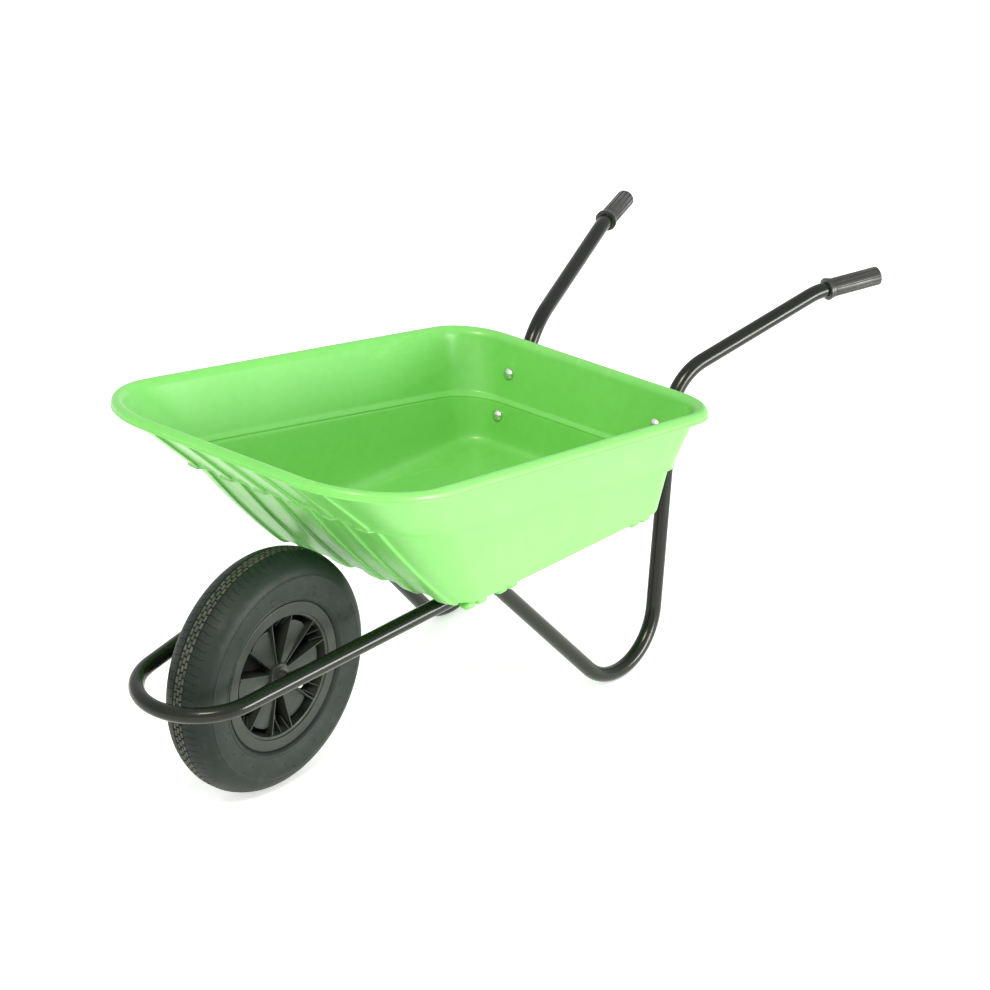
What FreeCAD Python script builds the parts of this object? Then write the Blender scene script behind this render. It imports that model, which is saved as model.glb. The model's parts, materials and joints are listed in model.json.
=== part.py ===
"""Wheelbarrow with a moulded plastic tub, a bent steel tube frame and one pneumatic wheel.

Millimetres.  +X points forward to the wheel, +Y to the left, +Z up.  The origin is on the
ground, under the middle of the barrow's bounding box.  The barrow stands at rest, on the tyre
and on the bottoms of its two legs.  Stations along the barrow are first given forward (+) or
backward (-) of the wheel axle, and at() moves them into the part's frame.
"""
import math
import os

import FreeCAD
import Part

# ---- driving dimensions: whole barrow -----------------------------------------------------
AXLE_X = 458.4              # wheel axle, forward of the origin
TYRE_R = 187.0              # the axle's height above the ground too
TYRE_HALF = 44.0            # half the width of the blown-up tyre

# ---- frame: one line of round tube per side -----------------------------------------------
TUBE_R = 12.0
TUBE_WALL = 1.5
LOOP_FRONT = (226.0, 86.5, 208.0)       # corner of the loop round the wheel
LOOP_BEND = 95.0
KNEE = (-332.0, 147.0, 263.0)           # rail turns down into the leg, under the tub
KNEE_BEND = 80.0
FOOT = (-681.0, 182.0)                  # leg turns up again; its height follows from the bend
FOOT_BEND = 95.0
SHOULDER = (-774.0, 142.0, 449.0)       # riser turns back into the handle, behind the rim
SHOULDER_BEND = 94.0
WRIST = (-1042.0, 216.0, 535.0)         # handle levels out to the grip
WRIST_BEND = 120.0
HAND_END = (-1147.0, 253.0, 541.0)
JOINT_X = -248.0                        # loop and side tubes meet on a sleeve under the floor
SLEEVE_HALF = 36.0

# ---- tub ----------------------------------------------------------------------------------
TUB_WALL = 4.5
FLOOR_Z = 270.8
FLOOR_FRONT = -213.0                    # where the outer wall planes meet the floor plane
FLOOR_REAR = -701.0
FLOOR_HALF = 200.0
FLOOR_CORNER = 48.0
RIM_Z0 = 541.8                          # lower edge of the rim over the axle
RIM_TILT = 0.152                        # rise of the rim per millimetre forward
RIM_FRONT = 100.0
RIM_REAR = -762.0
RIM_HALF_FRONT = 306.0
RIM_HALF_REAR = 264.0
RIM_CORNER_FRONT = 150.0
RIM_CORNER_REAR = 91.0
RIM_HIGH = 15.0                         # lip, from its lower edge to its top
RIM_OUT = 19.0                          # lip's overhang beyond the wall
LIP_SKIN = 4.0
RIDGE_Z0 = 460.8                        # middle of the moulded step round the walls, over the axle
RIDGE_TILT = 0.159                      # rise of the step per millimetre forward
RIDGE_STEP = 6.0
RIDGE_HIGH = 7.0
RIDGE_FRONT = -42.0                     # outline of the wall at the step's lower edge
RIDGE_REAR = -716.0
RIDGE_HALF_FRONT = 250.0
RIDGE_HALF_REAR = 217.0
RIDGE_CORNER_FRONT = 98.0
RIDGE_CORNER_REAR = 72.0
FRONT_SLOPE = 3.0                       # the front wall's run for each millimetre of the step
FRONT_RIBS = 6
FRONT_RIB_PITCH = 66.0
FRONT_RIB_WIDE = 22.0
FRONT_RIB_HIGH = 4.2
FOOT_RIB_STATIONS = (-240.0, -266.0, -313.0, -337.0, -630.0, -655.0)
FOOT_RIB_INNER = 172.0
FOOT_RIB_WIDE = 20.0
FOOT_RIB_LONG = 23.0
FOOT_RIB_DEEP = 11.0

# ---- wheel --------------------------------------------------------------------------------
FLANGE_R = 115.0
FLANGE_Y = 37.0
FACE_R = 98.0                           # inner edge of the flat ring on the wheel's face
BARREL_R = 96.0
PETALS = 6
PETAL_TIP_R = 84.0
HUB_R = 19.0
HUB_Y = 31.0
AXLE_R = 6.35

# ---- fasteners ----------------------------------------------------------------------------
BOLT_R = 4.0
TUB_BOLTS = ((147.0, 389.0), (151.0, 323.0))    # (half spacing, height) of the rear bolts
BOLT_LEAN = 12.0                                # degrees that the rear bolts dip outward
HEAD_STAND = 1.9            # a rear bolt head stands off the sloping wall this much at its middle
FLOOR_BOLT_HALF = 70.0
STRAP_X = -259.0


def vec(x, y, z):
    return FreeCAD.Vector(x, y, z)


def at(x, y=0.0, z=0.0):
    """A point given by its station forward of the axle."""
    return vec(AXLE_X + x, y, z)


def mirrored(shape):
    """The right-hand twin of a left-hand shape."""
    return shape.mirror(vec(0, 0, 0), vec(0, 1, 0))


def rod(base, direction, radius, length):
    return Part.makeCylinder(radius, length, base, direction)


def ring(base, direction, outer, inner, length):
    return rod(base, direction, outer, length).cut(rod(base, direction, inner, length))


def block(x0, x1, y0, y1, z0, z1):
    """A box between stations, so x0 and x1 are measured from the axle."""
    return Part.makeBox(x1 - x0, y1 - y0, z1 - z0, at(x0, y0, z0))


def bend(before, corner, after, radius):
    """The tangent arc that rounds a corner: start, middle and end points."""
    back = (before - corner).normalize()
    ahead = (after - corner).normalize()
    half = back.getAngle(ahead) / 2
    reach = radius / math.tan(half)
    bisector = (back + ahead).normalize()
    centre = corner + bisector * (radius / math.sin(half))
    return corner + back * reach, centre - bisector * radius, corner + ahead * reach


def bent_path(points, radii):
    """An open wire of straight runs and bends."""
    edges = []
    start = points[0]
    for before, corner, after, radius in zip(points, points[1:], points[2:], radii):
        enter, middle, leave = bend(before, corner, after, radius)
        edges.append(Part.makeLine(start, enter))
        edges.append(Part.Arc(enter, middle, leave).toShape())
        start = leave
    edges.append(Part.makeLine(start, points[-1]))
    return Part.Wire(edges)


def rounded_loop(corners, radii):
    """A closed flat wire of straight sides and rounded corners."""
    count = len(corners)
    arcs = [bend(corners[i - 1], corners[i], corners[(i + 1) % count], radii[i])
            for i in range(count)]
    edges = []
    for i in range(count):
        edges.append(Part.Arc(*arcs[i]).toShape())
        edges.append(Part.makeLine(arcs[i][2], arcs[(i + 1) % count][0]))
    return Part.Wire(edges)


def swept(path, radius):
    """A round bar along a path."""
    start = path.Edges[0].valueAt(path.Edges[0].FirstParameter)
    heading = path.Edges[0].tangentAt(path.Edges[0].FirstParameter)
    profile = Part.Wire([Part.makeCircle(radius, start, heading)])
    return path.makePipeShell([profile], True, False)


def hollow(path):
    return swept(path, TUBE_R).cut(swept(path, TUBE_R - TUBE_WALL))


# ---- frame --------------------------------------------------------------------------------
def foot_corner():
    """The leg's lower corner, at the height that sets the bend's underside on the ground."""
    corner = at(FOOT[0], FOOT[1], 0.0)
    for _ in range(12):
        arc = Part.Arc(*bend(at(*KNEE), corner, at(*SHOULDER), FOOT_BEND)).toShape()
        lowest = min(arc.discretize(200), key=lambda point: point.z).z
        corner.z += TUBE_R - lowest
    return corner


def rail_point(station):
    """A point on the left rail's centre line, between the loop and the knee."""
    front = at(*LOOP_FRONT)
    knee = at(*KNEE)
    share = (station - LOOP_FRONT[0]) / (KNEE[0] - LOOP_FRONT[0])
    return front + (knee - front) * share


def riser_point(height):
    """A point on the left riser's centre line, between the foot and the shoulder."""
    foot = foot_corner()
    shoulder = at(*SHOULDER)
    share = (height - foot.z) / (shoulder.z - foot.z)
    return foot + (shoulder - foot) * share


def loop_path():
    left_end = rail_point(JOINT_X)
    left = at(*LOOP_FRONT)
    right = vec(left.x, -left.y, left.z)
    right_end = vec(left_end.x, -left_end.y, left_end.z)
    return bent_path([left_end, left, right, right_end], [LOOP_BEND, LOOP_BEND])


def side_path():
    points = [rail_point(JOINT_X), at(*KNEE), foot_corner(), at(*SHOULDER), at(*WRIST), at(*HAND_END)]
    return bent_path(points, [KNEE_BEND, FOOT_BEND, SHOULDER_BEND, WRIST_BEND])


def joint_sleeve():
    """The short tube inside the rail that carries the joint."""
    heading = (rail_point(-SLEEVE_HALF) - rail_point(0)).normalize()
    base = rail_point(JOINT_X) - heading * SLEEVE_HALF
    outer = TUBE_R - TUBE_WALL - 0.05
    return ring(base, heading, outer, outer - 2.0, 2 * SLEEVE_HALF)


def axle_bracket(loop):
    """A bent strip welded to the rail, with a tab that holds the axle."""
    tab_y = 52.0
    thick = 4.0
    outline = [
        (tab_y, TYRE_R), (tab_y + thick, TYRE_R), (tab_y + thick, TYRE_R + 13),
        (103.0, 227.0), (100.0, 232.0), (tab_y, TYRE_R + 15), (tab_y, TYRE_R),
    ]
    strip = Part.Face(Part.makePolygon([at(-11, y, z) for y, z in outline])).extrude(vec(22, 0, 0))
    eye = rod(at(0, tab_y, TYRE_R), vec(0, 1, 0), 11.0, thick)
    hole = rod(at(0, tab_y - 1, TYRE_R), vec(0, 1, 0), AXLE_R + 0.1, thick + 2)
    return strip.fuse(eye).removeSplitter().cut(hole).cut(loop)


def floor_strap(tubes):
    """A flat bar across both rails that the tub's floor is bolted to."""
    top = FLOOR_Z - 0.2
    strap = block(STRAP_X - 15, STRAP_X + 15, -150, 150, top - 4, top)
    for side in (-1, 1):
        base = at(STRAP_X, side * FLOOR_BOLT_HALF, top - 10)
        strap = strap.cut(rod(base, vec(0, 0, 1), BOLT_R + 0.3, 20))
    for tube in tubes:
        strap = strap.cut(tube)
    return strap


def rear_brace(sides):
    """A flat bar welded between the two risers, under the tub's rear end."""
    point = riser_point(279)
    back = point.x - AXLE_X - TUBE_R
    half = point.y - TUBE_R / 2
    brace = block(back + 2, back + 6, -half, half, 266, 292)
    for side in sides:
        brace = brace.cut(side)
    return brace


def grip():
    """A fluted sleeve pushed on the handle's end, with a flange at its inner end."""
    end = at(*HAND_END)
    heading = (end - at(*WRIST)).normalize()
    length = 94.0
    inner = end - heading * length
    crest = 15.0
    valley = 13.7
    flutes = 14
    side = heading.cross(vec(0, 0, 1)).normalize()
    up = side.cross(heading)
    outline = []
    for step in range(4 * flutes):
        angle = 2 * math.pi * step / (4 * flutes)
        radius = crest if step % 4 < 2 else valley
        outline.append(inner + side * (radius * math.cos(angle)) + up * (radius * math.sin(angle)))
    body = Part.Face(Part.makePolygon(outline + outline[:1])).extrude(heading * (length + 3.0))
    body = body.fuse(rod(inner, heading, 18.0, 4.0))
    body = body.fuse(rod(inner + heading * 4.0, heading, 16.0, 6.0)).removeSplitter()
    return body.cut(rod(inner - heading, heading, TUBE_R + 0.05, length + 1.05))


# ---- tub ----------------------------------------------------------------------------------
def section(level, tilt, front, rear, half_front, half_rear, corner_front, corner_rear):
    """One flat rounded outline of the tub; its height is level + tilt * station."""
    corners = [
        at(front, half_front, level + tilt * front),
        at(rear, half_rear, level + tilt * rear),
        at(rear, -half_rear, level + tilt * rear),
        at(front, -half_front, level + tilt * front),
    ]
    return rounded_loop(corners, [corner_front, corner_rear, corner_rear, corner_front])


def wall_sections(inset, top_extra):
    """Outlines from floor to rim, moved inward by the wall thickness when inset is given."""
    ahead = inset * 1.42
    base = FLOOR_Z + inset
    floor_front = FLOOR_FRONT - ahead + inset
    floor_rear = FLOOR_REAR + inset
    floor_half = FLOOR_HALF - inset
    corner = FLOOR_CORNER - inset
    loops = []
    for rise, pull in ((0.0, 12.0), (3.5, 4.0), (12.0, -2.0)):
        forward = floor_front - pull if pull > 0 else floor_front + rise
        loops.append(section(base + rise, 0.0, forward, floor_rear + max(pull, -3.0),
                             floor_half - pull, floor_half - pull, corner, corner))
    for rise, step in ((-RIDGE_HIGH / 2, 0.0), (RIDGE_HIGH / 2, RIDGE_STEP)):
        loops.append(section(RIDGE_Z0 + rise, RIDGE_TILT,
                             RIDGE_FRONT + FRONT_SLOPE * step - ahead, RIDGE_REAR - step + inset,
                             RIDGE_HALF_FRONT + step - inset, RIDGE_HALF_REAR + step - inset,
                             RIDGE_CORNER_FRONT - inset, RIDGE_CORNER_REAR - inset))
    for rise in (0.0, top_extra):
        out = RIM_OUT - 0.3 * rise
        loops.append(section(RIM_Z0 + rise, RIM_TILT,
                             RIM_FRONT - out + 0.6 * rise - ahead, RIM_REAR + out + inset,
                             RIM_HALF_FRONT - out - inset, RIM_HALF_REAR - out - inset,
                             RIM_CORNER_FRONT - out - inset, RIM_CORNER_REAR - out - inset))
    return loops


def rim_section(rise, inset):
    return section(RIM_Z0 + rise, RIM_TILT, RIM_FRONT - inset, RIM_REAR + inset,
                   RIM_HALF_FRONT - inset, RIM_HALF_REAR - inset,
                   RIM_CORNER_FRONT - inset, RIM_CORNER_REAR - inset)


def front_rib(middle):
    """A rib down the outside of the front wall, with a rounded foot below the floor's edge."""
    ahead = 0.72 * FRONT_RIB_HIGH
    down = 0.69 * FRONT_RIB_HIGH
    step_front = RIDGE_FRONT + FRONT_SLOPE * RIDGE_STEP
    step_low = RIDGE_Z0 - RIDGE_HIGH / 2 + RIDGE_TILT * RIDGE_FRONT
    step_high = RIDGE_Z0 + RIDGE_HIGH / 2 + RIDGE_TILT * step_front
    top_front = RIM_FRONT - RIM_OUT
    outline = [
        (FLOOR_FRONT + 10, FLOOR_Z + 12.5), (FLOOR_FRONT - 26, FLOOR_Z + 2),
        (FLOOR_FRONT - 24, FLOOR_Z - down), (FLOOR_FRONT - 4, FLOOR_Z - down - 1),
        (FLOOR_FRONT + ahead + 1, FLOOR_Z - 1), (RIDGE_FRONT + ahead, step_low - down),
        (step_front + ahead, step_high - down), (top_front + 3, RIM_Z0 + 5),
        (top_front - 11, RIM_Z0 + 4), (RIDGE_FRONT + 6, step_low + 5),
        (FLOOR_FRONT + 10, FLOOR_Z + 12.5),
    ]
    y0 = middle - FRONT_RIB_WIDE / 2
    face = Part.Face(Part.makePolygon([at(x, y0, z) for x, z in outline]))
    return face.extrude(vec(0, FRONT_RIB_WIDE, 0))


def foot_rib(station, side):
    """A short rounded rib under the floor's edge, outboard of the rail."""
    low = FLOOR_Z - FOOT_RIB_DEEP
    y0 = FOOT_RIB_INNER if side > 0 else -FOOT_RIB_INNER - FOOT_RIB_WIDE
    half_long = FOOT_RIB_LONG / 2
    body = block(station - half_long, station + half_long, y0, y0 + FOOT_RIB_WIDE, low, FLOOR_Z + 3)
    edges = [edge for edge in body.Edges
             if abs(edge.BoundBox.ZMax - low) < 0.01 and edge.BoundBox.YLength > 1]
    return body.makeFillet(7.0, edges)


def bolt_heading():
    lean = math.radians(BOLT_LEAN)
    return vec(-math.cos(lean), 0, -math.sin(lean))


def rear_wall(height):
    """Station of the rear wall's outer face at a height."""
    step_low = RIDGE_Z0 - RIDGE_HIGH / 2 + RIDGE_TILT * RIDGE_REAR
    step_rear = RIDGE_REAR - RIDGE_STEP
    step_high = RIDGE_Z0 + RIDGE_HIGH / 2 + RIDGE_TILT * step_rear
    top_rear = RIM_REAR + RIM_OUT
    top_high = RIM_Z0 + RIM_TILT * top_rear
    if height > step_high:
        share = (height - step_high) / (top_high - step_high)
        return step_rear + (top_rear - step_rear) * share
    share = (height - FLOOR_Z) / (step_low - FLOOR_Z)
    return FLOOR_REAR + (RIDGE_REAR - FLOOR_REAR) * share


def rear_bolt_head(half, height, side):
    """The middle of the seat of a rear bolt's head, just off the tub's sloping inner wall."""
    return at(rear_wall(height) + TUB_WALL + HEAD_STAND, side * half, height)


def rear_pad(half, height, side):
    """A moulded block that fills the gap between the rear wall and the riser."""
    head = rear_bolt_head(half, height, side)
    back = riser_point(height).x + 4.0
    return Part.makeBox(head.x - back, 40.0, 36.0, vec(back, head.y - 20.0, height - 24.0))


def tub(sides):
    wall = Part.makeLoft(wall_sections(0.0, RIM_HIGH), True, True)
    cavity = Part.makeLoft(wall_sections(TUB_WALL, RIM_HIGH + 2.0), True, True)
    lip = Part.makeLoft([rim_section(0.0, 0.0), rim_section(6.0, 0.3), rim_section(11.5, 3.2),
                         rim_section(RIM_HIGH, 9.0)], True, True)
    groove = Part.makeLoft([rim_section(-1.0, LIP_SKIN), rim_section(9.5, LIP_SKIN + 1.5)], True, True)
    body = wall.fuse(lip.cut(groove))
    for index in range(FRONT_RIBS):
        middle = (index - (FRONT_RIBS - 1) / 2) * FRONT_RIB_PITCH
        body = body.fuse(front_rib(middle))
    for station in FOOT_RIB_STATIONS:
        for side in (-1, 1):
            body = body.fuse(foot_rib(station, side))
    for half, height in TUB_BOLTS:
        for side in (-1, 1):
            body = body.fuse(rear_pad(half, height, side))
    body = body.cut(cavity)
    for side in sides:
        body = body.cut(side)
    for half, height in TUB_BOLTS:
        for side in (-1, 1):
            head = rear_bolt_head(half, height, side)
            body = body.cut(rod(head, bolt_heading(), BOLT_R + 0.2, 70))
            body = body.cut(rod(head, -bolt_heading(), 9.2, 12))
    for side in (-1, 1):
        base = at(STRAP_X, side * FLOOR_BOLT_HALF, FLOOR_Z - 20)
        body = body.cut(rod(base, vec(0, 0, 1), BOLT_R + 0.2, 40))
        seat = at(STRAP_X, side * FLOOR_BOLT_HALF, FLOOR_Z + TUB_WALL - 4.0)
        body = body.cut(Part.makeCone(BOLT_R + 0.2, BOLT_R + 4.2, 4.0, seat, vec(0, 0, 1)))
    return body


# ---- fasteners ----------------------------------------------------------------------------
def dome_bolt(head, heading, length):
    """A bolt with a low dome head; heading points along the shank."""
    cap = Part.makeSphere(11.0, head + heading * 5.2)
    keep = rod(head, -heading, 12.0, 12.0)
    dome = cap.common(keep).common(rod(head, -heading, 8.6, 12.0))
    return dome.fuse(rod(head - heading * 0.2, heading, BOLT_R, length + 0.2)).removeSplitter()


def flush_bolt(face, heading, length):
    """A bolt with a countersunk head; face is the middle of its top."""
    head = Part.makeCone(BOLT_R + 3.9, BOLT_R, 3.9, face, heading)
    return head.fuse(rod(face, heading, BOLT_R, length)).removeSplitter()


def hex_nut(base, heading, across, high, bore):
    side = heading.cross(vec(0, 1, 0) if abs(heading.y) < 0.9 else vec(1, 0, 0)).normalize()
    other = heading.cross(side)
    radius = across / 2 / math.cos(math.pi / 6)
    corners = []
    for step in range(7):
        angle = math.pi / 3 * step
        corners.append(base + side * (radius * math.cos(angle)) + other * (radius * math.sin(angle)))
    nut = Part.Face(Part.makePolygon(corners)).extrude(heading * high)
    trim = Part.makeCone(radius - 0.6, radius + high, high + 1.0, base + heading * high, -heading)
    return nut.common(trim.fuse(rod(base, heading, radius - 0.6, high))).cut(
        rod(base - heading, heading, bore, high + 2))


def rear_fastener_sets():
    bolts = []
    washers = []
    nuts = []
    heading = bolt_heading()
    for half, height in TUB_BOLTS:
        for side in (-1, 1):
            head = rear_bolt_head(half, height, side)
            riser = riser_point(height - 9)
            reach = (head.x - riser.x + TUBE_R + 0.6) / math.cos(math.radians(BOLT_LEAN))
            bolts.append(dome_bolt(head, heading, reach + 12.0))
            washers.append(ring(head + heading * reach, heading, 8.5, BOLT_R + 0.3, 1.5))
            nuts.append(hex_nut(head + heading * (reach + 1.5), heading, 13.0, 6.5, BOLT_R + 0.02))
    return bolts, washers, nuts


def floor_fastener_sets():
    bolts = []
    nuts = []
    down = vec(0, 0, -1)
    for side in (-1, 1):
        face = at(STRAP_X, side * FLOOR_BOLT_HALF, FLOOR_Z + TUB_WALL - 0.05)
        bolts.append(flush_bolt(face, down, 20.0))
        base = at(STRAP_X, side * FLOOR_BOLT_HALF, FLOOR_Z - 4.2)
        nuts.append(hex_nut(base, down, 13.0, 6.5, BOLT_R + 0.02))
    return bolts, nuts


# ---- wheel --------------------------------------------------------------------------------
def spun(outline):
    """A solid turned about the axle from (radius, y) points."""
    points = [at(0, y, TYRE_R + radius) for radius, y in outline]
    face = Part.Face(Part.makePolygon(points + points[:1]))
    return face.revolve(at(0, 0, TYRE_R), vec(0, 1, 0), 360)


def arc_points(centre, size, start, stop, count):
    """Points on an oval arc, as (radius, y) pairs; angles in degrees from the +radius way."""
    points = []
    for step in range(count):
        angle = math.radians(start + (stop - start) * step / (count - 1))
        points.append((centre[0] + size[0] * math.cos(angle), centre[1] + size[1] * math.sin(angle)))
    return points


def tyre():
    """The tyre's section: a rounded case with a flatter tread and two beads."""
    middle = 150.0
    outer = arc_points((middle, 0.0), (TYRE_R - middle, TYRE_HALF), -90, 90, 19)
    outer = [(radius if abs(y) > 12 else TYRE_R - abs(y) * 0.04, y) for radius, y in outer]
    left_bead = [(132.0, 43.0), (FLANGE_R + 4.0, 39.0), (FLANGE_R + 0.6, 36.5), (FLANGE_R - 2.0, 34.3),
                 (BARREL_R + 3.0, 32.6), (BARREL_R + 0.4, 31.5), (BARREL_R + 0.4, 22.0),
                 (FLANGE_R - 4.0, 26.0), (128.0, 36.0)]
    inner = arc_points((middle - 4.0, 0.0), (TYRE_R - middle - 5.0, TYRE_HALF - 5.5), 80, -80, 15)
    right_bead = [(radius, -y) for radius, y in reversed(left_bead)]
    return spun(outer + left_bead + inner + right_bead)


def inner_tube():
    outer = arc_points((137.0, 0.0), (39.0, 30.0), 0, 342, 20)
    inner = arc_points((137.0, 0.0), (37.0, 28.0), 0, 342, 20)
    return spun(outer).cut(spun(inner))


def sector_plate(middle_angle):
    """One petal of the wheel's face, narrow at the hub and round at its outer end."""
    corners = [(HUB_R - 4, -5.0), (PETAL_TIP_R - 8, -22.5), (PETAL_TIP_R - 3, -15.0), (PETAL_TIP_R, 0.0),
               (PETAL_TIP_R - 3, 15.0), (PETAL_TIP_R - 8, 22.5), (HUB_R - 4, 5.0)]
    start = [at(out, 0, 0) for out, _ in corners]
    points = [vec(point.x, 23.0, TYRE_R + side) for point, (_, side) in zip(start, corners)]
    plate = Part.Face(Part.makePolygon(points + points[:1])).extrude(vec(0, 4.0, 0))
    plate.rotate(at(0, 0, TYRE_R), vec(0, 1, 0), middle_angle)
    return plate


def radial_fin(angle, near, far, side_shift, lean, y0, y1):
    """A thin upright fin that runs outward between two radii."""
    fin = Part.makeBox(far - near, y1 - y0, 2.2, at(near, y0, TYRE_R - 1.1))
    fin.rotate(at(near, 0, TYRE_R), vec(0, 1, 0), lean)
    fin.translate(vec(0, 0, side_shift))
    fin.rotate(at(0, 0, TYRE_R), vec(0, 1, 0), angle)
    return fin


def wheel_half():
    """The left half of the moulded wheel centre."""
    barrel = spun([(BARREL_R - 4, 0.2), (BARREL_R, 0.2), (BARREL_R, 33.0), (FLANGE_R - 2, 35.0),
                   (FLANGE_R, FLANGE_Y - 1.0), (FLANGE_R - 1, FLANGE_Y), (FACE_R - 2, FLANGE_Y - 2.0),
                   (BARREL_R - 4, 32.0)])
    web = spun([(HUB_R - 2, 0.2), (BARREL_R - 3, 0.2), (BARREL_R - 3, 3.2), (HUB_R - 2, 3.2)])
    hub = spun([(12.5, 0.2), (HUB_R, 0.2), (HUB_R, HUB_Y - 3), (HUB_R - 3, HUB_Y), (12.5, HUB_Y)])
    half = barrel.fuse(web).fuse(hub)
    for index in range(PETALS):
        angle = 360.0 * index / PETALS
        half = half.fuse(sector_plate(angle))
        for side in (-1, 1):
            half = half.fuse(radial_fin(angle, HUB_R - 3, BARREL_R - 2, side * 5.0, -side * 16.5, 3.0, 27.0))
        for offset in (-9.0, 0.0, 9.0):
            half = half.fuse(radial_fin(angle + 30.0 + offset, 80.0, BARREL_R - 2, 0.0, 0.0, 3.0, 26.0))
    return half.removeSplitter()


def valve():
    """A stem that stands in from the barrel at the bottom of the wheel, and its cap."""
    down = vec(0, 0, -1)
    seat = at(0, 15.0, TYRE_R - BARREL_R + 0.5)
    stem = rod(seat, -down, 4.2, 8.0).fuse(rod(seat + vec(0, 0, 8.0), -down, 2.6, 14.0))
    cap = rod(seat + vec(0, 0, 14.0), -down, 4.0, 12.0).fuse(rod(seat + vec(0, 0, 26.0), -down, 3.0, 2.0))
    cap = cap.cut(rod(seat + vec(0, 0, 13.0), -down, 2.62, 10.0))
    return stem.removeSplitter(), cap.removeSplitter(), rod(seat + down * 8, -down, 4.3, 14)


# ---- all nodes ----------------------------------------------------------------------------
def build_nodes():
    loop = hollow(loop_path())
    side_left = hollow(side_path())
    side_right = mirrored(side_left)
    clear_left = swept(side_path(), TUBE_R + 0.05)
    clear_sides = [clear_left, mirrored(clear_left)]
    clear_loop = swept(loop_path(), TUBE_R + 0.05)

    heading = bolt_heading()
    for half, height in TUB_BOLTS:
        side_left = side_left.cut(rod(rear_bolt_head(half, height, 1), heading, BOLT_R + 0.2, 90))
        side_right = side_right.cut(rod(rear_bolt_head(half, height, -1), heading, BOLT_R + 0.2, 90))

    bolts, washers, nuts = rear_fastener_sets()
    floor_bolts, floor_nuts = floor_fastener_sets()
    bracket = axle_bracket(clear_loop)
    sleeve = joint_sleeve()
    left_grip = grip()

    along = vec(0, 1, 0)
    half = wheel_half()
    stem, cap, seat_hole = valve()
    around_valve = rod(at(0, 15.0, TYRE_R - BARREL_R + 4.2), vec(0, 0, 1), 5.5, 30.0)
    half_left = half.cut(seat_hole).cut(around_valve)
    bush = ring(at(0, 12.0, TYRE_R), along, 12.45, AXLE_R + 0.05, HUB_Y - 12.0)
    bush = bush.fuse(ring(at(0, HUB_Y, TYRE_R), along, 14.0, AXLE_R + 0.05, 1.6)).removeSplitter()
    spacer = ring(at(0, HUB_Y + 2.2, TYRE_R), along, 9.0, AXLE_R + 0.1, 52.0 - HUB_Y - 2.3)
    washer = ring(at(0, 56.1, TYRE_R), along, 10.5, AXLE_R + 0.15, 2.0)
    nut = hex_nut(at(0, 58.2, TYRE_R), along, 18.0, 8.0, AXLE_R + 0.02)

    return {
        "tub": tub(clear_sides),
        "frame_loop": loop,
        "frame_side_left": side_left,
        "frame_side_right": side_right,
        "joint_sleeve_left": sleeve,
        "joint_sleeve_right": mirrored(sleeve),
        "axle_bracket_left": bracket,
        "axle_bracket_right": mirrored(bracket),
        "floor_strap": floor_strap(clear_sides + [clear_loop]),
        "rear_brace": rear_brace(clear_sides),
        "rear_tub_bolts": Part.makeCompound(bolts),
        "rear_tub_washers": Part.makeCompound(washers),
        "rear_tub_nuts": Part.makeCompound(nuts),
        "floor_tub_bolts": Part.makeCompound(floor_bolts),
        "floor_tub_nuts": Part.makeCompound(floor_nuts),
        "grip_left": left_grip,
        "grip_right": mirrored(left_grip),
        "axle": rod(at(0, -70.0, TYRE_R), along, AXLE_R, 140.0),
        "axle_spacers": Part.makeCompound([spacer, mirrored(spacer)]),
        "axle_washers": Part.makeCompound([washer, mirrored(washer)]),
        "axle_nuts": Part.makeCompound([nut, mirrored(nut)]),
        "wheel_half_left": half_left,
        "wheel_half_right": mirrored(half),
        "hub_bushes": Part.makeCompound([bush, mirrored(bush)]),
        "tyre": tyre(),
        "inner_tube": inner_tube(),
        "valve_stem": stem,
        "valve_cap": cap,
    }


def main():
    os.makedirs("parts", exist_ok=True)
    for name, shape in build_nodes().items():
        shape.exportStep(os.path.join("parts", name + ".step"))
        box = shape.BoundBox
        print("%-20s %7.1f %7.1f %7.1f %7.1f %7.1f %7.1f  solids %d valid %s volume %.0f" % (
            name, box.XMin, box.XMax, box.YMin, box.YMax, box.ZMin, box.ZMax,
            len(shape.Solids), shape.isValid(), shape.Volume))


main()
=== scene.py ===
# %% [markdown]
# # A garden wheelbarrow, finished piece by piece
#
# The barrow has a moulded plastic tub, a frame of bent steel tube, and one wheel with a
# blown-up tyre on a plastic centre. A CAD model already gives the true sizes and the places
# of all its pieces. This lesson keeps the pieces whose CAD shape is already right (tubes,
# bolts, axle) and remodels the ones that need more detail: the tub, the tyre, the two wheel
# halves and the grips. Then every piece gets a finish.
#
# All sizes are in metres. +X points forward to the wheel, +Y to the left and +Z up.

# %% Load the fixed frame
import json
import math
import bmesh
import bpy
import numpy as np
from mathutils import Matrix, Vector


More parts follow.
